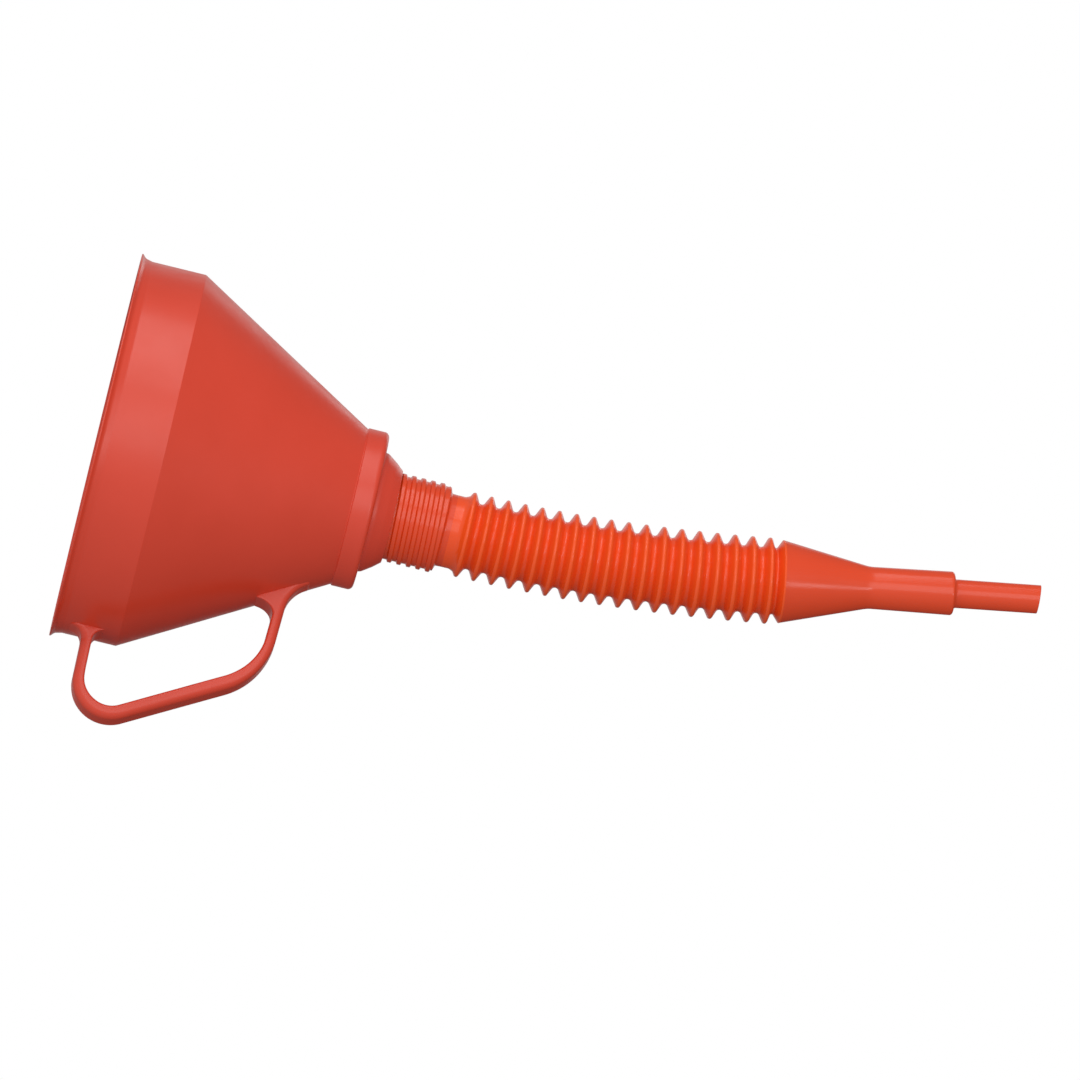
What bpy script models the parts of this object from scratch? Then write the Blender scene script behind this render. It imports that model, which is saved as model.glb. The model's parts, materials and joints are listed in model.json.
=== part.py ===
"""Fuel funnel: a wide bowl with a strap handle, a strainer in its collar and a screwed-in bellows spout.

It stands upside down on its mouth. The origin is the middle of its footprint, z = 0 is the plane of
the mouth, +Z runs parallel to the bowl's axis towards the spout, the handle lies towards +X and the
spout leans towards -X. Shapes are laid out round the bowl's axis, in millimetres, and every object
then hangs from one empty that sets that axis in its place.
"""

import math

import bmesh
import bpy
from mathutils import Matrix, Vector

MM = 0.001

# Bowl: radii from the axis, heights from the plane of the mouth.
LIP_R = 80.0
BAND_R = 77.7
BAND_END_Z = 27.3
CONE_END_R = 32.4
CONE_END_Z = 106.3
COLLAR_R = 32.9
COLLAR_END_Z = 115.7
COLLAR_ROUND = 2.2
SOCKET_R = 18.75
SOCKET_END_Z = 124.2
WALL = 2.0
SEAT_R = 30.2
SEAT_Z = 113.4
BOWL_STEPS = 60

# Handle: a strap bent in the XZ plane.
STRAP_THICK = 4.3
STRAP_DEEP = 14.0
STRAP_EDGE = 1.3
LEG_1_Z = (14.2, 14.9)
CORNER_1 = (29.0, 97.0)
CORNER_1_R = 14.1
BAR_SLOPE = math.radians(30.1)
CORNER_2_R = 28.0
LEG_2_Z = (87.8, 88.4)
ROOT_FILLET = 3.6
ROOT_GAP = 0.3

# Strainer: a moulded ring with a disc of gauze held in its groove.
RING_R = 29.8
RING_BORE_R = 26.2
RING_Z = (107.8, 113.0)
GROOVE_R = 27.9
GROOVE_Z = (110.0, 111.5)
GAUZE_R = 27.5
GAUZE_Z = (110.35, 111.15)
MESH_PITCH = 6.2
MESH_HOLE = 4.7
MESH_EDGE_R = 25.4

# Spout: threaded end, smooth neck, bellows, taper, outlet tube and tip.
THREAD_ROOT_R = 17.3
THREAD_CREST_R = 18.35
THREAD_PITCH = 4.0
THREAD_Z = (118.4, 143.0)
THREAD_STEPS = 24
SPOUT_START_Z = 117.0
NECK_R = 15.0
FIRST_HINGE_Z = 150.84
PITCH = 7.32
RINGS = 18
CREST_R = 17.6
ROOT_R = 13.75
LIP_BORE_R = 12.95
SKIRT_R = 12.6
SKIRT_BORE_R = 11.65
LIP_END = -0.2  # the lip starts this far before its hinge
SHOULDER = -1.66  # the flank before a hinge ends here, clear of the next lip at full bend
SKIRT_END = 1.6  # the skirt reaches this far past the hinge
RING_STEPS = 24
LEAN_FIRST = math.radians(0.16)
LEAN_LOWER = math.radians(0.64)
LEAN_UPPER = math.radians(0.475)

TAPER_R = 17.05
TAPER_START = 2.7
TAPER_END = 37.9
TUBE_R = (8.6, 8.95)
TUBE_END = 72.3
TIP_R = 5.85
TIP_END = 108.9
TIP_SLANT = math.radians(6.0)
NOZZLE_STEPS = 32

# The bowl's axis stands off the middle of the footprint, because the handle sticks out on one side.
AXIS_X = (LIP_R - (CORNER_1[1] + CORNER_1_R + STRAP_THICK / 2)) / 2


def clear_scene():
    for obj in list(bpy.data.objects):
        bpy.data.objects.remove(obj, do_unlink=True)


def material(name, colour, roughness, metallic=0.0):
    made = bpy.data.materials.new(name)
    made.use_nodes = True
    shader = made.node_tree.nodes["Principled BSDF"]
    shader.inputs["Base Color"].default_value = (*colour, 1.0)
    shader.inputs["Roughness"].default_value = roughness
    shader.inputs["Metallic"].default_value = metallic
    made.diffuse_color = (*colour, 1.0)
    return made


def add_object(name, data, made=None, matrix=None):
    """Links an object, placed in the frame of the bowl's axis and parented to that axis's empty."""
    axis = bpy.data.objects.get("bowl_axis")
    obj = bpy.data.objects.new(name, data)
    bpy.context.scene.collection.objects.link(obj)
    if made:
        data.materials.append(made)
    obj.parent = axis
    if matrix is not None:
        obj.matrix_local = matrix
    return obj


def signed_area(points):
    return sum(a[0] * b[1] - b[0] * a[1] for a, b in zip(points, points[1:] + points[:1])) / 2


def lathe(name, profile, steps, made, matrix=None):
    """A closed (radius, height) outline turned about the local Z axis with a Screw modifier."""
    if signed_area(profile) > 0:
        profile = profile[::-1]
    mesh = bpy.data.meshes.new(name)
    count = len(profile)
    mesh.from_pydata(
        [(r * MM, 0.0, z * MM) for r, z in profile],
        [(i, (i + 1) % count) for i in range(count)],
        [],
    )
    obj = add_object(name, mesh, made, matrix)
    turn = obj.modifiers.new("Turn", "SCREW")
    turn.axis = "Z"
    turn.angle = math.tau
    turn.steps = turn.render_steps = steps
    turn.use_merge_vertices = True
    turn.merge_threshold = 1e-5
    turn.use_smooth_shade = True
    return obj


def sweep(name, sections, made, matrix=None):
    """A closed body through equal-length loops of points (millimetres), capped at both ends."""
    model = bmesh.new()
    loops = [[model.verts.new(Vector(p) * MM) for p in loop] for loop in sections]
    count = len(loops[0])
    for one, two in zip(loops, loops[1:]):
        for i in range(count):
            j = (i + 1) % count
            model.faces.new((one[i], one[j], two[j], two[i]))
    model.faces.new(loops[0][::-1])
    model.faces.new(loops[-1])
    bmesh.ops.recalc_face_normals(model, faces=model.faces)
    mesh = bpy.data.meshes.new(name)
    model.to_mesh(mesh)
    model.free()
    for face in mesh.polygons:
        face.use_smooth = True
    return add_object(name, mesh, made, matrix)


def box(name, low, high, matrix=None):
    x, y, z = zip(low, high)
    corners = [(a, b, c) for c in z for b in y for a in x]
    mesh = bpy.data.meshes.new(name)
    mesh.from_pydata(
        [tuple(v * MM for v in corner) for corner in corners],
        [],
        [(0, 2, 3, 1), (4, 5, 7, 6), (0, 1, 5, 4), (2, 6, 7, 3), (0, 4, 6, 2), (1, 3, 7, 5)],
    )
    return add_object(name, mesh, matrix=matrix)


def boolean(obj, cutter, operation, self_intersect=False):
    cutter.hide_render = True
    cutter.display_type = "WIRE"
    step = obj.modifiers.new(operation.title(), "BOOLEAN")
    step.operation = operation
    step.solver = "EXACT"
    step.use_self = self_intersect
    step.object = cutter


# ---------------------------------------------------------------- bowl


def cone_r(z):
    share = (z - BAND_END_Z) / (CONE_END_Z - BAND_END_Z)
    return BAND_R + (CONE_END_R - BAND_R) * share


def bowl_outside():
    """The outside of the bowl from the mouth to the end of the collar."""
    lip = [(79.9, 0.0), (80.0, 0.3), (79.2, 1.0), (78.4, 2.0), (77.9, 3.2), (BAND_R, 4.6)]
    body = [(BAND_R, BAND_END_Z), (CONE_END_R, CONE_END_Z), (COLLAR_R, CONE_END_Z + 0.2)]
    end = []
    for i in range(4):
        a = math.radians(30 * i)
        end.append(
            (
                COLLAR_R - COLLAR_ROUND * (1 - math.cos(a)),
                COLLAR_END_Z - COLLAR_ROUND * (1 - math.sin(a)),
            )
        )
    return lip + body + end


def make_bowl(made):
    inner_offset = WALL / math.cos(math.atan2(BAND_R - CONE_END_R, CONE_END_Z - BAND_END_Z))
    slope = (BAND_R - CONE_END_R) / (CONE_END_Z - BAND_END_Z)
    band_in = BAND_R - WALL
    turn_z = BAND_END_Z + (BAND_R - inner_offset - band_in) / slope
    foot_z = BAND_END_Z + (BAND_R - inner_offset - SEAT_R) / slope
    neck = [(25.3, COLLAR_END_Z), (24.1, 117.7), (22.4, 120.2), (20.0, 123.6), (19.8, SOCKET_END_Z)]
    inside = [
        (SOCKET_R, SOCKET_END_Z),
        (SOCKET_R, 116.6),
        (24.0, SEAT_Z),
        (SEAT_R, SEAT_Z),
        (SEAT_R, foot_z),
        (band_in, turn_z),
        (band_in, 2.0),
        (76.3, 0.6),
        (77.0, 0.0),
    ]
    return lathe("bowl", bowl_outside() + neck + inside, BOWL_STEPS, made)


# ---------------------------------------------------------------- handle


def strap_path():
    """Points (z, x) along the middle of the strap, from the band round to the cone."""
    z0, x0 = CORNER_1
    points = [(LEG_1_Z[0], BAND_R - 4.0)]
    for i in range(1, 5):
        share = i / 5
        points.append(
            (
                LEG_1_Z[0] + (LEG_1_Z[1] - LEG_1_Z[0]) * share,
                BAND_R - 4.0 + (x0 - BAND_R + 4.0) * share,
            )
        )
    last = math.pi / 2 - BAR_SLOPE
    for i in range(9):
        a = math.pi + (last - math.pi) * i / 8
        points.append((z0 + CORNER_1_R * math.cos(a), x0 + CORNER_1_R * math.sin(a)))
    along = (math.cos(BAR_SLOPE), -math.sin(BAR_SLOPE))
    start = points[-1]
    reach = (LEG_2_Z[0] - start[0]) / along[0]
    turn = math.pi / 2 - BAR_SLOPE
    cut = CORNER_2_R * math.tan(turn / 2)
    corner = (start[0] + along[0] * reach, start[1] + along[1] * reach)
    begin = (corner[0] - along[0] * cut, corner[1] - along[1] * cut)
    for i in range(1, 5):
        share = i / 5
        points.append(tuple(a + (b - a) * share for a, b in zip(start, begin)))
    centre = (begin[0] - math.sin(BAR_SLOPE) * CORNER_2_R, begin[1] - math.cos(BAR_SLOPE) * CORNER_2_R)
    for i in range(8):
        a = math.pi / 2 - BAR_SLOPE - turn * i / 7
        points.append((centre[0] + CORNER_2_R * math.cos(a), centre[1] + CORNER_2_R * math.sin(a)))
    foot = (LEG_2_Z[1], cone_r(LEG_2_Z[1]) - 4.0)
    top = points[-1]
    for i in range(1, 7):
        share = i / 6
        points.append(tuple(a + (b - a) * share for a, b in zip(top, foot)))
    return points


def flare(distance):
    """How much each side widens this far from the bowl, as a quarter-round fillet."""
    if distance >= ROOT_FILLET:
        return 0.0
    d = max(distance, 0.0)
    return ROOT_FILLET - math.sqrt(ROOT_FILLET**2 - (ROOT_FILLET - d) ** 2)


def strap_section(z, x, along, wide, deep):
    """A rounded rectangle across the strap: `wide` in the XZ plane and `deep` along Y."""
    across = (-along[1], along[0])
    c, loop = STRAP_EDGE, []
    for sy, sw in ((1, 1), (-1, 1), (-1, -1), (1, -1)):
        corner = []
        for t in (0.0, 0.5, 1.0):
            a = math.pi / 2 * t
            u = wide / 2 - c + c * math.sin(a)
            v = deep / 2 - c + c * math.cos(a)
            corner.append((sw * u, sy * v))
        if sy * sw < 0:
            corner.reverse()
        loop.extend(corner)
    return [(x + u * across[1], v, z + u * across[0]) for u, v in loop]


def make_handle(made):
    path = strap_path()
    fine = []
    for (za, xa), (zb, xb) in zip(path, path[1:]):
        fine.append((za, xa))
        near = min(xa - BAND_R, xb - BAND_R) < ROOT_FILLET and za < 20
        near = near or (za > 80 and min(xa, xb) < cone_r(za) + ROOT_FILLET + 1.5)
        if near:
            fine.extend(
                (za + (zb - za) * t, xa + (xb - xa) * t) for t in (0.2, 0.4, 0.6, 0.8)
            )
    fine.append(path[-1])
    sections = []
    for i, (z, x) in enumerate(fine):
        a, b = fine[max(i - 1, 0)], fine[min(i + 1, len(fine) - 1)]
        length = math.hypot(b[0] - a[0], b[1] - a[1])
        along = ((b[0] - a[0]) / length, (b[1] - a[1]) / length)
        gap = x - BAND_R if z < 50 else (x - cone_r(z)) * math.cos(math.radians(29.8))
        wider = flare(gap) if z < 20 or z > 80 else 0.0
        sections.append(
            strap_section(z, x, along, STRAP_THICK + 2 * wider, STRAP_DEEP + 1.2 * wider)
        )
    handle = sweep("handle", sections, made)
    grown = [(r + ROOT_GAP * 1.2, z) for r, z in bowl_outside()]
    grown = [(0.01, -5.0), (grown[0][0], -5.0)] + grown + [(0.01, COLLAR_END_Z + 5.0)]
    cutter = lathe("bowl_clearance", grown, 120, None)
    boolean(handle, cutter, "DIFFERENCE")
    return handle


# ---------------------------------------------------------------- strainer


def make_strainer(plastic, brass):
    low, high = RING_Z
    profile = [
        (RING_R, low + 0.6),
        (RING_R, high - 0.4),
        (RING_R - 0.4, high),
        (RING_BORE_R, high),
        (RING_BORE_R, GROOVE_Z[1]),
        (GROOVE_R, GROOVE_Z[1]),
        (GROOVE_R, GROOVE_Z[0]),
        (RING_BORE_R, GROOVE_Z[0]),
        (RING_BORE_R, low + 0.4),
        (RING_BORE_R + 0.4, low),
        (RING_R - 0.6, low),
    ]
    ring = lathe("strainer_ring", profile, 48, plastic)

    sides = 48
    loops = []
    for z in GAUZE_Z:
        loops.append(
            [
                (GAUZE_R * math.cos(math.tau * i / sides), GAUZE_R * math.sin(math.tau * i / sides), z)
                for i in range(sides)
            ]
        )
    gauze = sweep("strainer_gauze", loops, brass)
    model = bmesh.new()
    half, reach = MESH_HOLE / 2, MESH_EDGE_R
    many = int(reach / MESH_PITCH) + 1
    for i in range(-many, many + 1):
        for j in range(-many, many + 1):
            x, y = i * MESH_PITCH, j * MESH_PITCH
            if math.hypot(abs(x) + half, abs(y) + half) > reach:
                continue
            where = Matrix.Translation((x * MM, y * MM, sum(GAUZE_Z) / 2 * MM))
            size = Matrix.Diagonal((MESH_HOLE * MM, MESH_HOLE * MM, 4 * MM, 1.0))
            bmesh.ops.create_cube(model, size=1.0, matrix=where @ size)
    mesh = bpy.data.meshes.new("mesh_holes")
    model.to_mesh(mesh)
    model.free()
    cutter = add_object("mesh_holes", mesh)
    boolean(gauze, cutter, "DIFFERENCE")
    return ring, gauze


# ---------------------------------------------------------------- spout


def link_frames():
    """The matrix of each link beyond the neck: rings 1 to 18 and then the nozzle, each at its hinge."""
    place, lean, frames = Vector((0.0, 0.0, FIRST_HINGE_Z * MM)), 0.0, []
    for i in range(RINGS + 1):
        lean += LEAN_FIRST if i == 0 else LEAN_LOWER if i < 10 else LEAN_UPPER
        frames.append(Matrix.Translation(place) @ Matrix.Rotation(-lean, 4, "Y"))
        place = frames[-1] @ Vector((0.0, 0.0, PITCH * MM))
    return frames


def make_neck(made):
    hinge = FIRST_HINGE_Z
    profile = [
        (SKIRT_BORE_R, hinge + SKIRT_END),
        (SKIRT_R - 0.08, hinge + SKIRT_END),
        (SKIRT_R, hinge + SHOULDER),
        (NECK_R, hinge + SHOULDER),
        (NECK_R, 145.7),
        (THREAD_ROOT_R, 144.6),
        (THREAD_ROOT_R, SPOUT_START_Z + 0.4),
        (THREAD_ROOT_R - 0.4, SPOUT_START_Z),
        (15.7, SPOUT_START_Z),
        (15.7, 143.4),
        (13.5, 145.6),
        (13.5, 147.6),
        (SKIRT_BORE_R, hinge + SHOULDER + 0.2),
    ]
    neck = lathe("spout_neck", profile, RING_STEPS, made)
    turns = (THREAD_Z[1] - THREAD_Z[0]) / THREAD_PITCH
    stations = int(turns * THREAD_STEPS)
    sections = []
    for i in range(stations + 1):
        angle = math.tau * turns * i / stations
        z = THREAD_Z[0] + (THREAD_Z[1] - THREAD_Z[0]) * i / stations
        end = min(i, stations - i) / (THREAD_STEPS / 4)
        grow = min(1.0, 0.35 + 0.65 * end)
        low, high = THREAD_ROOT_R - 0.45, THREAD_ROOT_R + (THREAD_CREST_R - THREAD_ROOT_R) * grow
        outline = [(low, -1.25), (high, -0.55), (high, 0.55), (low, 1.25)]
        sections.append([(r * math.cos(angle), r * math.sin(angle), z + h) for r, h in outline])
    ridge = sweep("thread_ridge", sections, None)
    boolean(neck, ridge, "UNION")
    return neck


def ring_profile():
    return [
        (LIP_BORE_R, LIP_END),
        (ROOT_R, LIP_END),
        (CREST_R, PITCH / 2),
        (ROOT_R - 0.15, PITCH + SHOULDER),
        (SKIRT_R, PITCH + SHOULDER),
        (SKIRT_R - 0.08, PITCH + SKIRT_END),
        (SKIRT_BORE_R, PITCH + SKIRT_END),
        (SKIRT_BORE_R + 0.05, PITCH + SHOULDER - 0.4),
        (CREST_R - 1.5, PITCH / 2 - 0.3),
        (LIP_BORE_R, 0.46),
    ]


def make_nozzle(made, matrix):
    profile = [
        (LIP_BORE_R, LIP_END),
        (ROOT_R, LIP_END),
        (TAPER_R, TAPER_START),
        (TUBE_R[0], TAPER_END),
        (TUBE_R[1], TUBE_END - 2.2),
        (TUBE_R[1] - 0.65, TUBE_END - 0.6),
        (TUBE_R[1] - 2.2, TUBE_END),
        (TIP_R + 0.35, TUBE_END + 0.1),
        (TIP_R, TUBE_END + 1.5),
        (TIP_R, TIP_END + 3.0),
        (TIP_R - 1.1, TIP_END + 3.0),
        (TIP_R - 1.1, TUBE_END),
        (TUBE_R[1] - 1.4, TUBE_END - 3.0),
        (TUBE_R[0] - 1.2, TAPER_END + 0.6),
        (TAPER_R - 1.55, TAPER_START + 0.6),
        (LIP_BORE_R, 0.46),
    ]
    nozzle = lathe("spout_nozzle", profile, NOZZLE_STEPS, made, matrix)
    knife = box(
        "tip_knife",
        (-20.0, -20.0, 0.0),
        (20.0, 20.0, 20.0),
        matrix @ Matrix.Translation((0.0, 0.0, TIP_END * MM)) @ Matrix.Rotation(TIP_SLANT, 4, "Y"),
    )
    boolean(nozzle, knife, "DIFFERENCE")
    return nozzle


def main():
    clear_scene()
    add_object("bowl_axis", None, matrix=Matrix.Translation((AXIS_X * MM, 0.0, 0.0)))
    bowl_red = material("bowl_polyethylene", (0.52, 0.06, 0.04), 0.45)
    spout_red = material("spout_polyethylene", (0.72, 0.09, 0.02), 0.3)
    ring_red = material("strainer_polyethylene", (0.55, 0.07, 0.04), 0.4)
    brass = material("gauze_brass", (0.72, 0.5, 0.2), 0.35, 1.0)
    make_bowl(bowl_red)
    make_handle(bowl_red)
    make_strainer(ring_red, brass)
    make_neck(spout_red)
    frames = link_frames()
    for i, frame in enumerate(frames[:-1]):
        lathe(f"bellows_{i + 1:02d}", ring_profile(), RING_STEPS, spout_red, frame)
    make_nozzle(spout_red, frames[-1])


main()
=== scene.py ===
"""The looks of the fuel funnel: a satin coral bowl with a strap handle and a glossier bellows spout.

Everything is in metres in the CAD's frame: the funnel stands upside down on its mouth, +Z runs along
the bowl's axis towards the spout and the handle lies towards +X. Profiles are laid out in
millimetres round the bowl's axis.
"""

import json
import math

import bmesh
import bpy
from mathutils import Matrix, Vector


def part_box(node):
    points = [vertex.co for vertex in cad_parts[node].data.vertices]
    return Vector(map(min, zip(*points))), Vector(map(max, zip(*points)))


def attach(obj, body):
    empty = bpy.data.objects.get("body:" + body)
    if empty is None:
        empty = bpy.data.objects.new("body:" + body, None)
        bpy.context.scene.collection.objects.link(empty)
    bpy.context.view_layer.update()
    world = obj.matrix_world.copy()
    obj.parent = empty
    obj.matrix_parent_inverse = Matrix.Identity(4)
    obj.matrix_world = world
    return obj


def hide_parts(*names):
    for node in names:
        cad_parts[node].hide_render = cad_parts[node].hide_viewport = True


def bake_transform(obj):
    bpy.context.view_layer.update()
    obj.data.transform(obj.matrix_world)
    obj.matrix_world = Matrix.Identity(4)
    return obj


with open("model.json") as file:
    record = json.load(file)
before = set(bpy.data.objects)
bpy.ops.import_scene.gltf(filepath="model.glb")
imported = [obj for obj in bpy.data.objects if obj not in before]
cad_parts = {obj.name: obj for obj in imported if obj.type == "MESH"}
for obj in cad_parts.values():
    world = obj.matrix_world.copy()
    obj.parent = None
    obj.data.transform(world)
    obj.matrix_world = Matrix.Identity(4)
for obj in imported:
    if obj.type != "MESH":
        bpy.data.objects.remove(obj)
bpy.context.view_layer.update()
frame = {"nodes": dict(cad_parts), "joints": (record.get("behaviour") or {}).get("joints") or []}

MM = 0.001
BOWL_LOW, BOWL_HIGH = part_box("bowl")
AXIS_X = (BOWL_LOW.x + BOWL_HIGH.x) / 2  # the bowl's axis
JOINTS = {joint["name"]: joint for joint in frame["joints"]}
RINGS = 18  # folds of the bellows
LINKS = ["spout_base"] + [f"bellows_{i:02d}" for i in range(1, RINGS + 1)] + ["nozzle"]
LAST_HINGE = len(LINKS) - 2
FIRST_UPPER = 10  # the hinge at which bend_upper takes over from bend_lower

# Bowl, millimetres round its axis
LIP_R = 80.0
BAND_R = 77.7
BAND_END_Z = 27.3
CONE_END_R = 32.4
CONE_END_Z = 106.3
COLLAR_R = 32.9
COLLAR_END_Z = 115.35
WALL = 2.0
SEAT_R = 30.2
SEAT_Z = 113.4
SOCKET_R = 18.75
SOCKET_END_Z = 124.2
BOWL_STEPS = 256

# Handle
STRAP_THICK = 4.35
STRAP_DEEP = 14.0
STRAP_IN = 1.0  # rounding of the strap's edges round the loop's inside
STRAP_OUT = 2.9  # and round its outside
BAR_EXTRA = 1.0  # the bar is thicker than the legs
LEG_1_Z = (14.75, 15.25)  # where it leaves the band and where its corner starts
CORNER_1 = (28.8, 97.4)  # (z, x) of its middle
CORNER_1_R = 13.55
BAR_SLOPE = math.radians(30.1)
CORNER_2_R = 28.0
LEG_2_Z = (87.6, 88.7)  # where its corner ends and where it enters the cone
LEG_1_FILLETS = (4.5, 5.5)  # on the loop's inside and outside
LEG_2_FILLET = 14.0  # on the loop's outside
FLARE = (4.8, 10.2, 8.3)  # the loop's inner corner at leg 2: from, to and how wide
BAR_Z = (20.0, 80.0)  # the legs' roots are below and above these heights
BAR_ROWS = (34, 110)  # the rows of the strap's mesh between which the bar is thicker
BAR_EASE = 24  # and the rows over which it gets there

# Spout
THREAD_ROOT_R = 17.45
THREAD_CREST_R = 18.35
THREAD_PITCH = 4.0
THREAD_PHASE = 131.0  # a crest passes the +X side at this height
THREAD_END_Z = 144.7
THREAD_ROW = 0.16  # between two rows of the thread's mesh
SPOUT_START_Z = 117.0
SPOUT_BORE_R = 15.7
NECK_R = 15.0
FIRST_FOLD = 2.6  # the first fold's skin starts this far before its hinge
PITCH = 7.32
CREST_R = 17.65
VALLEY_R = 13.58
CREST_ROUND = 0.95
VALLEY_ROUND = 1.5
BEND_REACH = 3.3  # the skin bends within this distance of its hinge
SEAM = 0.1  # height of the blow mould's parting seam
LEAN_LAST = math.radians(0.475)
TAPER_START = 2.7
TAPER_R = 17.05
TAPER_END = 38.8
TUBE_R = (8.6, 8.95)
TUBE_END = 73.7
TIP_R = 5.85
TIP_END = 108.9
TIP_WALL = 1.1
TIP_SLANT = math.radians(6.0)
SPOUT_STEPS = 128


# ---------------------------------------------------------------- shapes


def rounded(corners, support=0.35, longest=6.0):
    """An open outline of (r, z, fillet) corners, as points: arcs for the fillets and stops between them.

    Long stretches get a support point near each end and stops no further apart than `longest`.
    """
    out = []
    count = len(corners)
    for i, (r, z, radius) in enumerate(corners):
        here = Vector((r, z))
        if i in (0, count - 1) or radius <= 0:
            out.append(here)
            continue
        back = Vector(corners[i - 1][:2]) - here
        ahead = Vector(corners[i + 1][:2]) - here
        angle = back.angle(ahead)
        cut = radius / math.tan(angle / 2)
        limit = 0.48 * min(back.length, ahead.length)
        if cut > limit:
            cut = limit
            radius = cut * math.tan(angle / 2)
        start, end = here + back.normalized() * cut, here + ahead.normalized() * cut
        middle = (back.normalized() + ahead.normalized()).normalized()
        centre = here + middle * (radius / math.sin(angle / 2))
        turn = math.pi - angle
        steps = max(3, int(math.degrees(turn) / 9))
        a, b = start - centre, end - centre
        for k in range(steps + 1):
            t = k / steps
            out.append(centre + (a * math.sin((1 - t) * turn) + b * math.sin(t * turn)) / math.sin(turn))
    fine = [out[0]]
    for a, b in zip(out, out[1:]):
        gap = (b - a).length
        if gap < 1e-4:
            continue
        if gap > 3 * support:
            many = max(1, math.ceil((gap - 2 * support) / longest))
            stops = [support + (gap - 2 * support) * k / many for k in range(many + 1)]
            fine.extend(a + (b - a) * (stop / gap) for stop in stops)
        fine.append(b)
    return [(p.x, p.y) for p in fine]


def object_from(name, points, faces, body=None, made=None, sharp=40.0):
    """A smooth-shaded mesh object from points in metres."""
    mesh = bpy.data.meshes.new(name)
    mesh.from_pydata(points, [], faces)
    mesh.update()
    mesh.shade_smooth()
    mesh.set_sharp_from_angle(angle=math.radians(sharp))
    obj = bpy.data.objects.new(name, mesh)
    bpy.context.scene.collection.objects.link(obj)
    if made:
        mesh.materials.append(made)
    if body:
        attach(obj, body)
    return obj


def skin(rows, closed=False):
    """Quads over rows of equal, closed loops; `closed` joins the last row to the first."""
    around = len(rows[0])
    points = [p for row in rows for p in row]
    pairs = list(zip(range(len(rows)), range(1, len(rows))))
    if closed:
        pairs.append((len(rows) - 1, 0))
    faces = []
    for a, b in pairs:
        for i in range(around):
            j = (i + 1) % around
            faces.append((a * around + i, a * around + j, b * around + j, b * around + i))
    return points, faces


def turned(outline, steps):
    """Rows of a (radius, height) outline turned about the bowl's axis."""
    place = Matrix.Translation((AXIS_X, 0.0, 0.0))
    rows = []
    for r, z in outline:
        rows.append(
            [
                place @ Vector((r * MM * math.cos(a), r * MM * math.sin(a), z * MM))
                for a in (math.tau * i / steps for i in range(steps))
            ]
        )
    return rows


def face_outwards(mesh):
    model = bmesh.new()
    model.from_mesh(mesh)
    bmesh.ops.recalc_face_normals(model, faces=model.faces)
    model.to_mesh(mesh)
    model.free()


def smoothstep(t):
    t = min(max(t, 0.0), 1.0)
    return t * t * (3 - 2 * t)


# ---------------------------------------------------------------- materials


def node(tree, kind, **values):
    made = tree.nodes.new(kind)
    for key, value in values.items():
        if key in made.inputs:
            made.inputs[key].default_value = value
        else:
            setattr(made, key, value)
    return made


def noise(tree, place, **values):
    """Noise laid out over the object."""
    made = node(tree, "ShaderNodeTexNoise", **values)
    tree.links.new(place.outputs["Object"], made.inputs["Vector"])
    return made.outputs["Fac"]


def remapped(tree, value, source=(0.0, 1.0), target=(0.0, 1.0), smooth=False):
    """`value` taken from the source range to the target range, and held inside it."""
    made = node(tree, "ShaderNodeMapRange")
    if smooth:
        made.interpolation_type = "SMOOTHSTEP"
    for name, number in zip(("From Min", "From Max", "To Min", "To Max"), (*source, *target)):
        made.inputs[name].default_value = number
    tree.links.new(value, made.inputs["Value"])
    return made.outputs["Result"]


def plastic(
    name,
    dark,
    light,
    roughness=(0.38, 0.48),
    specular=0.5,
    grain_height=0.00002,
    fold=None,
):
    """Moulded polyethylene: cloudy colour, a fine moulded grain, and faint scuffs that are rougher.

    `fold` is a painted light colour for the bellows' crests, which the mesh's attribute of that name blends
    in: lighter and more orange, it stands in for the light that passes through the thin plastic at the
    crests.
    """
    made = bpy.data.materials.new(name)
    made.use_nodes = True
    tree = made.node_tree
    link = tree.links.new
    shader = tree.nodes["Principled BSDF"]
    shader.inputs["Specular IOR Level"].default_value = specular
    shader.inputs["IOR"].default_value = 1.5
    place = node(tree, "ShaderNodeTexCoord")

    cloud = noise(tree, place, Scale=28.0, Detail=4.0, Roughness=0.55)
    colour = node(tree, "ShaderNodeMix", data_type="RGBA")
    colour.inputs[6].default_value = (*dark, 1.0)
    colour.inputs[7].default_value = (*light, 1.0)
    link(remapped(tree, cloud, (0.3, 0.7)), colour.inputs[0])
    last = colour.outputs[2]
    # Painted light: the crests are blended towards the lighter, more orange `fold` colour, standing in for
    # light that passes through the thin plastic there.
    if fold:
        height = node(tree, "ShaderNodeAttribute", attribute_name="fold")
        ridge = node(tree, "ShaderNodeMix", data_type="RGBA")
        ridge.inputs[7].default_value = (*fold, 1.0)
        link(height.outputs["Fac"], ridge.inputs[0])
        link(last, ridge.inputs[6])
        last = ridge.outputs[2]
    link(last, shader.inputs["Base Color"])

    scuff = noise(tree, place, Scale=75.0, Detail=5.0, Roughness=0.6)
    link(remapped(tree, scuff, (0.42, 0.78), roughness), shader.inputs["Roughness"])

    grain = noise(tree, place, Scale=1500.0, Detail=2.0, Roughness=0.5)
    bump = node(tree, "ShaderNodeBump", Strength=0.5, Distance=grain_height)
    link(grain, bump.inputs["Height"])
    link(bump.outputs["Normal"], shader.inputs["Normal"])
    return made


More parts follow.
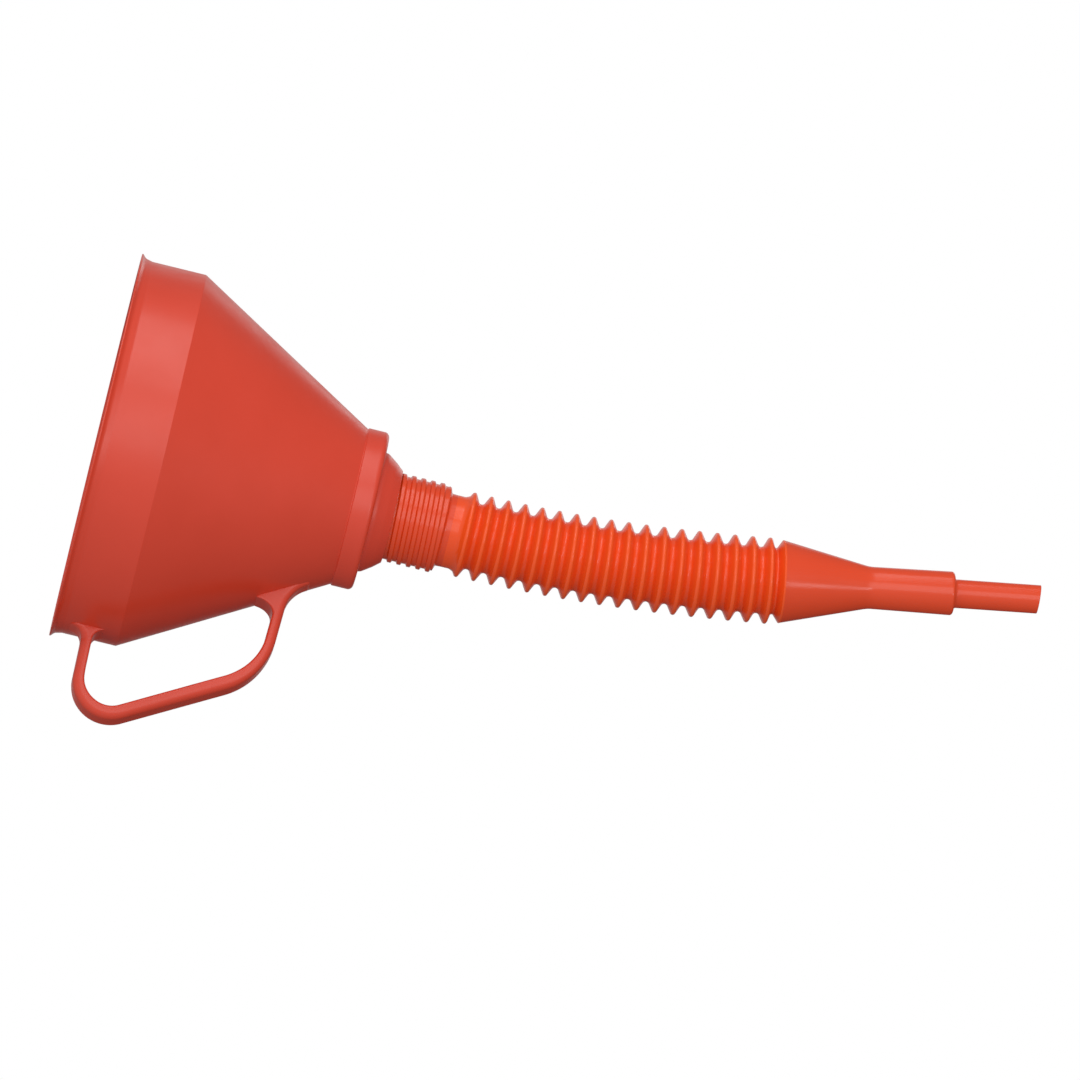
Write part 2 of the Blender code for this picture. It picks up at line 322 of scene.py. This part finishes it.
def brass_wire():
    """Brass that is darker in patches, with a roughness that follows them."""
    made = bpy.data.materials.new("brass_wire")
    made.use_nodes = True
    tree = made.node_tree
    shader = tree.nodes["Principled BSDF"]
    shader.inputs["Metallic"].default_value = 1.0
    cloud = noise(tree, node(tree, "ShaderNodeTexCoord"), Scale=160.0, Detail=3.0)
    ramp = node(tree, "ShaderNodeValToRGB")
    ramp.color_ramp.elements[0].color = (0.42, 0.26, 0.08, 1.0)
    ramp.color_ramp.elements[1].color = (0.78, 0.55, 0.24, 1.0)
    tree.links.new(cloud, ramp.inputs["Fac"])
    tree.links.new(ramp.outputs["Color"], shader.inputs["Base Color"])
    tree.links.new(remapped(tree, cloud, target=(0.28, 0.5)), shader.inputs["Roughness"])
    return made


BOWL_PLASTIC = plastic(
    "bowl_polyethylene",
    (0.655, 0.046, 0.017),
    (0.69, 0.051, 0.021),
    roughness=(0.3, 0.42),
)
RING_PLASTIC = plastic("strainer_polyethylene", (0.55, 0.05, 0.03), (0.60, 0.058, 0.036))
SPOUT_PLASTIC = plastic(
    "spout_polyethylene",
    (0.72, 0.051, 0.006),
    (0.75, 0.056, 0.008),
    roughness=(0.18, 0.28),
    grain_height=0.000004,
)
BELLOWS_PLASTIC = plastic(
    "bellows_polyethylene",
    (0.82, 0.069, 0.008),
    (0.85, 0.075, 0.010),
    roughness=(0.18, 0.28),
    specular=0.4,
    grain_height=0.000004,
    # the crests' painted light: lighter and more orange where light would pass through the thin plastic
    fold=(0.88, 0.087, 0.012),
)
BRASS = brass_wire()


# ---------------------------------------------------------------- bowl

SLOPE = (BAND_R - CONE_END_R) / (CONE_END_Z - BAND_END_Z)


def cone_r(z):
    """The cone's outer radius at height z."""
    return BAND_R - SLOPE * (z - BAND_END_Z)


def bowl_outline():
    """The whole wall, from the lip's end up the outside, round the neck and down the inside."""
    inner = WALL / math.cos(math.atan(SLOPE))
    band_in = BAND_R - WALL
    turn_z = BAND_END_Z + (BAND_R - inner - band_in) / SLOPE
    foot_z = BAND_END_Z + (BAND_R - inner - SEAT_R) / SLOPE
    outside = [
        (78.6, 0.0, 0.0),
        (79.95, 0.0, 0.25),
        (79.9, 0.55, 0.2),
        (78.4, 1.9, 2.2),
        (BAND_R, 4.8, 3.0),
        (BAND_R, BAND_END_Z, 0.35),
        (CONE_END_R, CONE_END_Z, 0.3),
        (COLLAR_R, CONE_END_Z + 0.35, 0.25),
        (COLLAR_R, COLLAR_END_Z, 2.1),
        (25.0, COLLAR_END_Z, 0.5),
        (24.6, 117.0, 2.5),
        (21.8, 121.0, 8.0),
        (19.75, 123.4, 1.2),
        (19.1, SOCKET_END_Z, 0.2),
    ]
    inside = [
        (SOCKET_R, SOCKET_END_Z - 0.25, 0.1),
        (SOCKET_R, 116.6, 0.5),
        (24.0, SEAT_Z, 0.4),
        (SEAT_R, SEAT_Z, 0.5),
        (SEAT_R, foot_z, 1.2),
        (band_in, turn_z, 1.5),
        (band_in, 3.0, 1.5),
        (76.6, 0.7, 1.0),
        (77.0, 0.0, 0.2),
        (78.6, 0.0, 0.0),
    ]
    return rounded(outside + inside)[:-1]


def make_bowl():
    points, faces = skin(turned(bowl_outline(), BOWL_STEPS), closed=True)
    bowl = object_from("bowl_wall", points, faces, "bowl", BOWL_PLASTIC, sharp=50.0)
    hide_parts("bowl")


# ---------------------------------------------------------------- handle


def fillet(distance, angle, radius):
    """How far a root fillet stands out from the strap's side, at this distance from the bowl along it.

    `angle` is the corner's angle between the strap's side and the bowl.
    """
    reach = radius / math.tan(angle / 2)
    if distance >= reach:
        return 0.0
    d = max(distance, reach * math.cos(angle))
    return radius - math.sqrt(max(radius**2 - (reach - d) ** 2, 0.0))


def flare(distance):
    """The same on the side of leg 2 that makes a sharp corner with the cone."""
    low, high, width = FLARE
    share = min(max((high - distance) / (high - low), 0.0), 1.0)
    return width * (1 - math.sqrt(1 - share**2))


def strap_path():
    """(z, x) points along the middle of the strap, from inside the band round to inside the cone."""
    z0, x0 = CORNER_1
    foot_1 = (LEG_1_Z[0], BAND_R - 3.0)
    leg_steps, corner_1_steps, bar_steps, corner_2_steps, flare_steps = 40, 32, 16, 24, 16
    points = []
    for i in range(leg_steps):
        share = i / leg_steps
        points.append((foot_1[0] + (LEG_1_Z[1] - foot_1[0]) * share, foot_1[1] + (x0 - foot_1[1]) * share))

    turn = math.pi / 2 - BAR_SLOPE
    for i in range(corner_1_steps + 1):
        a = math.pi + (turn - math.pi) * i / corner_1_steps
        points.append((z0 + CORNER_1_R * math.cos(a), x0 + CORNER_1_R * math.sin(a)))

    along = (math.cos(BAR_SLOPE), -math.sin(BAR_SLOPE))
    start = points[-1]
    reach = (LEG_2_Z[0] - start[0]) / along[0]
    cut = CORNER_2_R * math.tan(turn / 2)
    begin = tuple(s + a * (reach - cut) for s, a in zip(start, along))
    for i in range(1, bar_steps):
        share = i / bar_steps
        points.append(tuple(a + (b - a) * share for a, b in zip(start, begin)))

    centre = (begin[0] - math.sin(BAR_SLOPE) * CORNER_2_R, begin[1] - math.cos(BAR_SLOPE) * CORNER_2_R)
    for i in range(corner_2_steps + 1):
        a = turn - turn * i / corner_2_steps
        points.append((centre[0] + CORNER_2_R * math.cos(a), centre[1] + CORNER_2_R * math.sin(a)))

    # Leg 2 has even stops, and more where the flare curves.
    foot_2 = (LEG_2_Z[1], cone_r(LEG_2_Z[1]) - 8.0)
    top = points[-1]
    low, high, _ = FLARE
    skirt = cone_r(LEG_2_Z[1] - STRAP_THICK / 2)
    curve = []
    for i in range(flare_steps + 1):
        curve.append(skirt + high - (high - low) * math.sin(math.pi / 2 * i / flare_steps))
    even = [top[1] + (foot_2[1] - top[1]) * i / 60 for i in range(1, 61)]
    stops = sorted(even + curve, reverse=True)
    for x, after in zip(stops, stops[1:] + [-1.0]):
        if x - after > 0.004 and x < top[1]:
            share = (top[1] - x) / (top[1] - foot_2[1])
            points.append((top[0] + (foot_2[0] - top[0]) * share, x))
    return points


def strap_section(z, x, along, low, high):
    """A rounded rectangle across the strap, from `low` to `high` in the XZ plane and STRAP_DEEP along Y."""
    across = Vector((along[0], along[1])).orthogonal()
    deep = STRAP_DEEP / 2
    front = high - STRAP_OUT - low - STRAP_IN
    corners = ((high, deep), (low, deep), (low, -deep), (high, -deep))
    loop = []
    for k, (u, v) in enumerate(corners):
        su = 1 if u == high else -1
        sv = 1 if v > 0 else -1
        radius = STRAP_OUT if u == high else STRAP_IN
        for t in range(9):
            a = math.pi / 2 * t / 8
            fu, fv = (math.sin(a), math.cos(a)) if su * sv < 0 else (math.cos(a), math.sin(a))
            loop.append((u - su * radius * (1 - fu), v - sv * radius * (1 - fv)))
        # stops on the flat side that follows this corner
        if k in (0, 2):
            for share in (0.3, 0.7):
                flat = high - STRAP_OUT - front * share if k == 0 else low + STRAP_IN + front * share
                loop.append((flat, v))
        else:
            for share in (0.2, 0.4, 0.6, 0.8):
                loop.append((u, sv * (deep - radius) * (1 - 2 * share)))
    return [
        Vector((AXIS_X + (x + u * across[1]) * MM, v * MM, (z + u * across[0]) * MM)) for u, v in loop
    ]


def strap_rows():
    """The strap's sections from root to root."""
    path = strap_path()
    half = STRAP_THICK / 2
    rows = []
    for i, (z, x) in enumerate(path):
        a, b = path[max(i - 1, 0)], path[min(i + 1, len(path) - 1)]
        along = Vector((b[0] - a[0], b[1] - a[1])).normalized()
        side = along.orthogonal()
        on_bar = smoothstep((i - BAR_ROWS[0]) / BAR_EASE) * smoothstep((BAR_ROWS[1] - i) / BAR_EASE)
        low, high = -half - BAR_EXTRA * on_bar, half
        if z < BAR_Z[0]:
            low -= fillet(x - BAND_R, math.pi / 2, LEG_1_FILLETS[0])
            high += fillet(x - BAND_R, math.pi / 2, LEG_1_FILLETS[1])
        elif z > BAR_Z[1]:
            away = [x + s * side[1] - cone_r(z + s * side[0]) for s in (-half, half)]
            low -= flare(away[0])
            high += fillet(away[1], math.pi / 2 + math.atan(SLOPE), LEG_2_FILLET)
        rows.append(strap_section(z, x, along, low, high))
    return rows


def wall_core():
    """What the strap's ends are cut off with: the bowl as a solid, up to about the middle of its wall.

    A bore as thin as a hair keeps it a closed ring.
    """
    bore, below = 0.02, -4.0
    core = [(bore, below), (BAND_R - WALL / 2, below), (BAND_R - WALL / 2, BAND_END_Z)]
    core += [(cone_r(CONE_END_Z) - 1.1, CONE_END_Z), (bore, CONE_END_Z)]
    points, faces = skin(turned(core, BOWL_STEPS), closed=True)
    cutter = object_from("wall_core", points, faces)
    face_outwards(cutter.data)
    return cutter


def make_handle():
    rows = strap_rows()
    points, faces = skin(rows)
    around = len(rows[0])
    faces.append(tuple(range(around))[::-1])
    faces.append(tuple(range((len(rows) - 1) * around, len(rows) * around)))
    handle = object_from("handle_strap", points, faces, made=BOWL_PLASTIC)
    face_outwards(handle.data)

    cutter = wall_core()
    cut = handle.modifiers.new("cut", "BOOLEAN")
    cut.operation, cut.solver, cut.object = "DIFFERENCE", "EXACT", cutter
    graph = bpy.context.evaluated_depsgraph_get()
    mesh = bpy.data.meshes.new_from_object(handle.evaluated_get(graph))
    handle.modifiers.clear()
    handle.data = mesh
    bpy.data.objects.remove(cutter, do_unlink=True)
    mesh.shade_smooth()
    mesh.set_sharp_from_angle(angle=math.radians(50))
    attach(handle, "bowl")
    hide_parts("handle")


# ---------------------------------------------------------------- strainer


def make_gauze():
    """Plain-woven brass wire across the strainer's ring."""
    low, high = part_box("strainer_gauze")
    middle = (low + high) / 2
    radius = (high.x - low.x) / 2 - 0.0006
    spacing, wire, wave, sides = 0.0014, 0.00016, 0.00018, 5
    model = bmesh.new()
    count = int(radius / spacing)
    for direction in (0, 1):  # along X, then along Y
        for i in range(-count, count + 1):
            offset = i * spacing
            reach = math.sqrt(max(radius**2 - offset**2, 0.0))
            if reach < 3 * spacing:
                continue
            many = int(2 * reach / (spacing / 2))
            rings = []
            for k in range(many + 1):
                along = -reach + 2 * reach * k / many
                lift = wave * math.cos(math.pi * along / spacing) * (-1) ** (i + direction)
                ring = []
                for j in range(sides):
                    a = math.tau * j / sides
                    aside, up = offset + wire * math.cos(a), lift + wire * math.sin(a)
                    spot = (along, aside, up) if direction == 0 else (aside, along, up)
                    ring.append(model.verts.new(middle + Vector(spot)))
                rings.append(ring)
            for a, b in zip(rings, rings[1:]):
                for j in range(sides):
                    n = (j + 1) % sides
                    face = (a[j], a[n], b[n], b[j])
                    # wires along Y are mirrored, so their faces run the other way round
                    model.faces.new(face if direction == 0 else face[::-1])
    mesh = bpy.data.meshes.new("woven_gauze")
    model.to_mesh(mesh)
    model.free()
    mesh.shade_smooth()
    mesh.materials.append(BRASS)
    gauze = bpy.data.objects.new("woven_gauze", mesh)
    bpy.context.scene.collection.objects.link(gauze)
    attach(gauze, "strainer")
    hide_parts("strainer_gauze")


def dress_ring():
    """The strainer's ring is carried over from the CAD and only gets its plastic."""
    ring = frame["nodes"]["strainer_ring"]
    ring.data.materials.clear()
    ring.data.materials.append(RING_PLASTIC)


# ---------------------------------------------------------------- spout


def hinge(k):
    """Where joint k of the bellows is: 0 is the one at the neck and LAST_HINGE the one at the nozzle."""
    name = "bend_lower" if k == 0 else "bend_upper" if k == FIRST_UPPER else f"bend_{k + 1:02d}"
    return Vector(JOINTS[name]["pos_m"])


def lean(k):
    """How far link k's axis leans towards -X: link 0 is the neck and the last link the nozzle."""
    if k == 0:
        return 0.0
    if k == len(LINKS) - 1:
        return lean(k - 1) + LEAN_LAST
    along = hinge(k) - hinge(k - 1)
    return math.atan2(-along.x, along.z)


def link_frame(k, origin):
    """Link k's own axes at a given origin, with Z along the spout."""
    return Matrix.Translation(origin) @ Matrix.Rotation(-lean(k), 4, "Y")


def ridge(share):
    """The thread's height over one pitch, 0 to 1: a flat crest between rounded flanks."""
    t = abs((share + 0.5) % 1.0 - 0.5) * 2
    return 1.0 - smoothstep((t - 0.32) / 0.34)


def make_neck():
    """The threaded end, with its inside, and the smooth neck up to the first fold."""
    place = Matrix.Translation((AXIS_X, 0.0, 0.0))
    steps = 160
    rows = []

    def ring(z, radius):
        row = []
        for i in range(steps):
            a = math.tau * i / steps
            r = radius(a, z)
            row.append(place @ Vector((r * MM * math.cos(a), r * MM * math.sin(a), z * MM)))
        rows.append(row)

    def thread(a, z):
        share = (z - THREAD_PHASE) / THREAD_PITCH - a / math.tau
        grow = smoothstep((z - SPOUT_START_Z - 0.2) / 1.5) * smoothstep((THREAD_END_Z + 0.05 - z) / 0.9)
        return THREAD_ROOT_R + (THREAD_CREST_R - THREAD_ROOT_R) * ridge(share) * grow

    foot = [
        (SPOUT_BORE_R, THREAD_END_Z - 1.5, 0),
        (SPOUT_BORE_R, SPOUT_START_Z, 0.3),
        (SPOUT_BORE_R + 1.2, SPOUT_START_Z, 0.3),
        (THREAD_ROOT_R, SPOUT_START_Z + 0.5, 0),
    ]
    for r, z in rounded(foot):
        ring(z, lambda a, _, r=r: r)
    z = SPOUT_START_Z + 0.7
    while z < THREAD_END_Z:
        ring(z, thread)
        z += THREAD_ROW
    top = [
        (THREAD_ROOT_R, THREAD_END_Z, 0),
        (THREAD_ROOT_R, THREAD_END_Z + 0.3, 0.3),
        (NECK_R + 0.1, THREAD_END_Z + 1.1, 0.5),
        (NECK_R, hinge(0).z / MM - FIRST_FOLD, 0),
    ]
    for r, z in rounded(top):
        ring(z, lambda a, _, r=r: r)
    points, faces = skin(rows)
    neck = object_from("spout_threaded_end", points, faces, "spout_base", SPOUT_PLASTIC, sharp=60.0)
    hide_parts("spout_neck")


def fold_outline():
    """(distance from the valley, radius) from one crest to the next, straight between the two arcs."""
    half = PITCH / 2
    total = CREST_ROUND + VALLEY_ROUND
    rise = CREST_R - VALLEY_R - total
    slant = math.asin(total / math.hypot(half, rise)) + math.atan2(rise, half)
    side = []
    for i in range(8):
        a = slant * i / 7
        side.append((VALLEY_ROUND * math.sin(a), VALLEY_R + VALLEY_ROUND * (1 - math.cos(a))))
    for i in range(7, -1, -1):
        a = slant * i / 7
        side.append((half - CREST_ROUND * math.sin(a), CREST_R - CREST_ROUND * (1 - math.cos(a))))
    middle = [((side[7][0] + side[8][0]) / 2, (side[7][1] + side[8][1]) / 2)]
    side = side[:8] + middle + side[8:]
    return [(-s, r) for s, r in side[:0:-1]] + side


def drift(crest):
    """How far crest 1 to RINGS lies past the middle of its ring: the folds are a little uneven."""
    if not 1 <= crest <= RINGS:
        return 0.0
    return 0.45 * math.exp((1 - crest) / 2) + 0.85 * smoothstep((crest - 8) / 10)


def fold_skin(k):
    """(distance from joint k, radius) along the skin from the crest before it to the crest after it."""
    outline = fold_outline()
    before, after = drift(k), drift(k + 1)
    if k == 0:  # the neck runs straight into the first crest
        rise = [(s, r) for s, r in outline if s >= 0 and r > NECK_R + 0.5]
        neck = [(-FIRST_FOLD, 0.0), (-2.0, 0.0), (-1.2, 0.0), (-0.4, 0.0), (0.1, 0.0)]
        neck += [(0.5, 0.02), (0.85, 0.1), (1.15, 0.25)]
        outline = [(s, NECK_R + r) for s, r in neck] + rise
        return [(s + after * smoothstep(2 * s / PITCH), r) for s, r in outline]
    if k == LAST_HINGE:  # the taper's edge stands in for the last crest
        fall = [(s, r) for s, r in outline if s <= 0]
        edge = [
            (VALLEY_R, 0.0, 0),
            (VALLEY_R + 0.05, 0.35, 1.2),
            (TAPER_R, TAPER_START, 0.3),
            (TAPER_R - 0.2, TAPER_START + 0.6, 0),
        ]
        outline = fall + [(z, r) for r, z in rounded(edge, support=0.3)[1:]]
        return [(s + before * smoothstep(-2 * s / PITCH), r) for s, r in outline]
    return [(s + before + (after - before) * (s / PITCH + 0.5), r) for s, r in outline]


def make_fold(k):
    """The skin round joint k, shaped with the bend from link k's lean to the next link's."""
    place = link_frame(k, hinge(k))
    turn = lean(k + 1) - lean(k)
    rows, height = [], []
    for s, r in fold_skin(k):
        part = smoothstep((s + BEND_REACH) / (2 * BEND_REACH))
        bent = place @ Matrix.Rotation(-turn * part, 4, "Y")
        row = []
        for i in range(SPOUT_STEPS):
            a = math.tau * i / SPOUT_STEPS
            out = (r + SEAM * math.exp(-((math.sin(a) * r / 0.35) ** 2))) * MM
            row.append(bent @ Vector((out * math.cos(a), out * math.sin(a), s * MM)))
            # how far up a fold this point lies, 0 in the valley to 1 on the crest: it blends in the crests'
            # painted light
            height.append(smoothstep((r - VALLEY_R) / (CREST_R - VALLEY_R)))
        rows.append(row)
    points, faces = skin(rows)
    fold = object_from(f"bellows_fold_{k:02d}", points, faces, made=BELLOWS_PLASTIC, sharp=80.0)
    attribute = fold.data.attributes.new("fold", "FLOAT", "POINT")
    attribute.data.foreach_set("value", height)
    beyond = link_frame(k + 1, hinge(k))
    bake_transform(fold)
    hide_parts(f"bellows_{min(k + 1, RINGS):02d}")


def make_nozzle():
    """The taper, the outlet tube and the tip, with the wall's inside."""
    place = link_frame(len(LINKS) - 1, hinge(LAST_HINGE))
    outline = rounded(
        [
            (TAPER_R - 0.2, TAPER_START + 0.6, 0),
            (TUBE_R[0], TAPER_END, 14.0),
            (TUBE_R[1], TUBE_END, 1.9),
            (TIP_R + 0.5, TUBE_END + 0.1, 0.3),
            (TIP_R, TUBE_END + 1.0, 0.5),
            (TIP_R, TIP_END, 0.25),
            (TIP_R - TIP_WALL, TIP_END, 0.25),
            (TIP_R - TIP_WALL, TUBE_END, 0.5),
            (TUBE_R[1] - 1.4, TUBE_END - 3.0, 1.0),
            (TUBE_R[0] - 1.2, TAPER_END + 0.6, 4.0),
            (TAPER_R - 1.6, TAPER_START + 1.0, 0),
        ]
    )
    rows = []
    for r, z in outline:
        # the tip's end is cut slanting, longer on the -X side
        slant = smoothstep((z - TIP_END + 8.0) / 8.0) * math.tan(TIP_SLANT)
        row = []
        for i in range(SPOUT_STEPS):
            a = math.tau * i / SPOUT_STEPS
            x, y = r * math.cos(a), r * math.sin(a)
            row.append(place @ Vector((x * MM, y * MM, (z - slant * x) * MM)))
        rows.append(row)
    points, faces = skin(rows)
    nozzle = object_from("spout_outlet", points, faces, "nozzle", SPOUT_PLASTIC, sharp=60.0)
    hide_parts("spout_nozzle")


# ---------------------------------------------------------------- stage

VIEW_AZIMUTH = math.radians(17.0)
VIEW_ROLL = math.radians(13.74)
VIEW_TILT = math.radians(2.05)
LENS, SENSOR = 500.0, 36.0  # millimetres
DISTANCE = 6.1095  # metres


def make_camera():
    """A long lens from the side. Returns the directions towards the viewer and down in the picture."""
    toward = Vector((math.sin(VIEW_AZIMUTH), -math.cos(VIEW_AZIMUTH), 0.0))
    down = Vector((math.cos(VIEW_AZIMUTH), math.sin(VIEW_AZIMUTH), 0.0))
    up_z = Vector((0.0, 0.0, 1.0))
    back = toward * math.cos(VIEW_TILT) - up_z * math.sin(VIEW_TILT)
    axis = up_z * math.cos(VIEW_TILT) + toward * math.sin(VIEW_TILT)
    right = axis * math.cos(VIEW_ROLL) - down * math.sin(VIEW_ROLL)
    up = -axis * math.sin(VIEW_ROLL) - down * math.cos(VIEW_ROLL)
    target = Vector((AXIS_X, 0.0, 0.185)) - down * 0.005 + up * 0.0002
    data = bpy.data.cameras.new("camera")
    camera = bpy.data.objects.new("camera", data)
    bpy.context.scene.collection.objects.link(camera)
    turn = Matrix((right, up, back)).transposed().to_4x4()
    camera.matrix_world = Matrix.Translation(target + back * DISTANCE) @ turn
    data.sensor_width = SENSOR
    data.lens = LENS
    data.clip_start, data.clip_end = 0.5, 200.0
    bpy.context.scene.camera = camera
    return toward, down


def make_floor():
    """A wide pale sheet, open under the mouth, clear from below and fading out far away."""
    steps = 96
    rows = []
    for r in (40.0, 4.0, 1.0, 0.3, 0.12, (LIP_R - 1.5) * MM):
        around = [math.tau * i / steps for i in range(steps)]
        rows.append([(AXIS_X + r * math.cos(a), r * math.sin(a), 0.0) for a in around])
    points, faces = skin(rows)
    floor = object_from("floor", points, faces)

    made = bpy.data.materials.new("floor_paper")
    made.use_nodes = True
    tree = made.node_tree
    link = tree.links.new
    paper = tree.nodes["Principled BSDF"]
    paper.inputs["Base Color"].default_value = (0.92, 0.92, 0.92, 1.0)
    paper.inputs["Emission Color"].default_value = (1.0, 1.0, 1.0, 1.0)
    paper.inputs["Emission Strength"].default_value = 0.22
    paper.inputs["Roughness"].default_value = 0.75
    paper.inputs["Specular IOR Level"].default_value = 0.2
    side = node(tree, "ShaderNodeNewGeometry")
    away = node(tree, "ShaderNodeVectorMath", operation="LENGTH")
    link(side.outputs["Position"], away.inputs[0])
    clear = node(tree, "ShaderNodeMath", operation="MAXIMUM")
    link(side.outputs["Backfacing"], clear.inputs[0])
    link(remapped(tree, away.outputs["Value"], (0.4, 2.4), smooth=True), clear.inputs[1])
    mix = node(tree, "ShaderNodeMixShader")
    link(clear.outputs["Value"], mix.inputs["Fac"])
    link(paper.outputs["BSDF"], mix.inputs[1])
    link(node(tree, "ShaderNodeBsdfTransparent").outputs["BSDF"], mix.inputs[2])
    link(mix.outputs["Shader"], tree.nodes["Material Output"].inputs["Surface"])
    floor.data.materials.append(made)

    # The camera sees the floor, but it neither shades the funnel nor throws light back at it.
    floor.visible_shadow = floor.visible_diffuse = floor.visible_glossy = False


def make_world(toward, down):
    """Light from all round, with a bright patch straight behind the funnel.

    It is brighter from the viewer's side, the top of the picture and the mouth's end. The camera itself
    sees plain white.
    """
    world = bpy.data.worlds.new("studio")
    world.use_nodes = True
    bpy.context.scene.world = world
    tree = world.node_tree
    link = tree.links.new
    tree.nodes.clear()
    where = node(tree, "ShaderNodeTexCoord")

    def facing(direction):
        aim = node(tree, "ShaderNodeVectorMath", operation="DOT_PRODUCT")
        aim.inputs[1].default_value = direction
        link(where.outputs["Generated"], aim.inputs[0])
        return aim.outputs["Value"]

    slope = node(tree, "ShaderNodeMath", operation="ADD")
    slope.inputs[1].default_value = 0.56
    link(facing(toward * 0.46 - down * 0.10 - Vector((0.0, 0.0, 0.18))), slope.inputs[0])
    patch = remapped(
        tree,
        facing((-toward - down * 0.17).normalized()),
        source=(0.84, 0.97),
        target=(0.0, 0.6),
        smooth=True,
    )
    total = node(tree, "ShaderNodeMath", operation="ADD")
    link(slope.outputs["Value"], total.inputs[0])
    link(patch, total.inputs[1])
    glow = node(tree, "ShaderNodeBackground")
    link(total.outputs["Value"], glow.inputs["Strength"])

    seen = node(tree, "ShaderNodeBackground")
    seen.inputs["Color"].default_value = (1.0, 1.0, 1.0, 1.0)
    mix = node(tree, "ShaderNodeMixShader")
    link(node(tree, "ShaderNodeLightPath").outputs["Is Camera Ray"], mix.inputs["Fac"])
    link(glow.outputs["Background"], mix.inputs[1])
    link(seen.outputs["Background"], mix.inputs[2])
    link(mix.outputs["Shader"], node(tree, "ShaderNodeOutputWorld").inputs["Surface"])


def make_softbox(name, direction, distance, width, height, power):
    data = bpy.data.lights.new(name, "AREA")
    data.shape = "RECTANGLE"
    data.size, data.size_y = width, height
    data.energy = power
    light = bpy.data.objects.new(name, data)
    bpy.context.scene.collection.objects.link(light)
    light.location = Vector((AXIS_X, 0.0, 0.2)) + direction.normalized() * distance
    light.rotation_mode = "QUATERNION"
    light.rotation_quaternion = (-direction).to_track_quat("-Z", "Y")
    light.visible_camera = False


def make_stage(toward, down):
    scene = bpy.context.scene
    scene.view_settings.view_transform = "Standard"
    scene.view_settings.look = "None"
    make_floor()
    make_world(toward, down)

    def aimed(degrees, rise):
        """Round from the viewer (0) past the top of the picture (90), then raised along the bowl's axis."""
        a = math.radians(degrees)
        return toward * math.cos(a) - down * math.sin(a) + Vector((0.0, 0.0, rise))

    # name, direction, distance, width, height, watts
    make_softbox("high_softbox", aimed(66, -0.2), 1.7, 1.5, 0.8, 8.0)
    make_softbox("front_softbox", aimed(17, 0.1), 1.8, 1.05, 1.5, 6.0)
    make_softbox("back_softbox", aimed(158, 0.36), 2.0, 0.7, 0.7, 1.3)
    make_softbox("streak_softbox", aimed(1, 0.62), 1.9, 0.32, 0.6, 2.0)


make_bowl()
make_handle()
dress_ring()
make_gauze()
make_neck()
for joint_index in range(LAST_HINGE + 1):
    make_fold(joint_index)
make_nozzle()
make_stage(*make_camera())
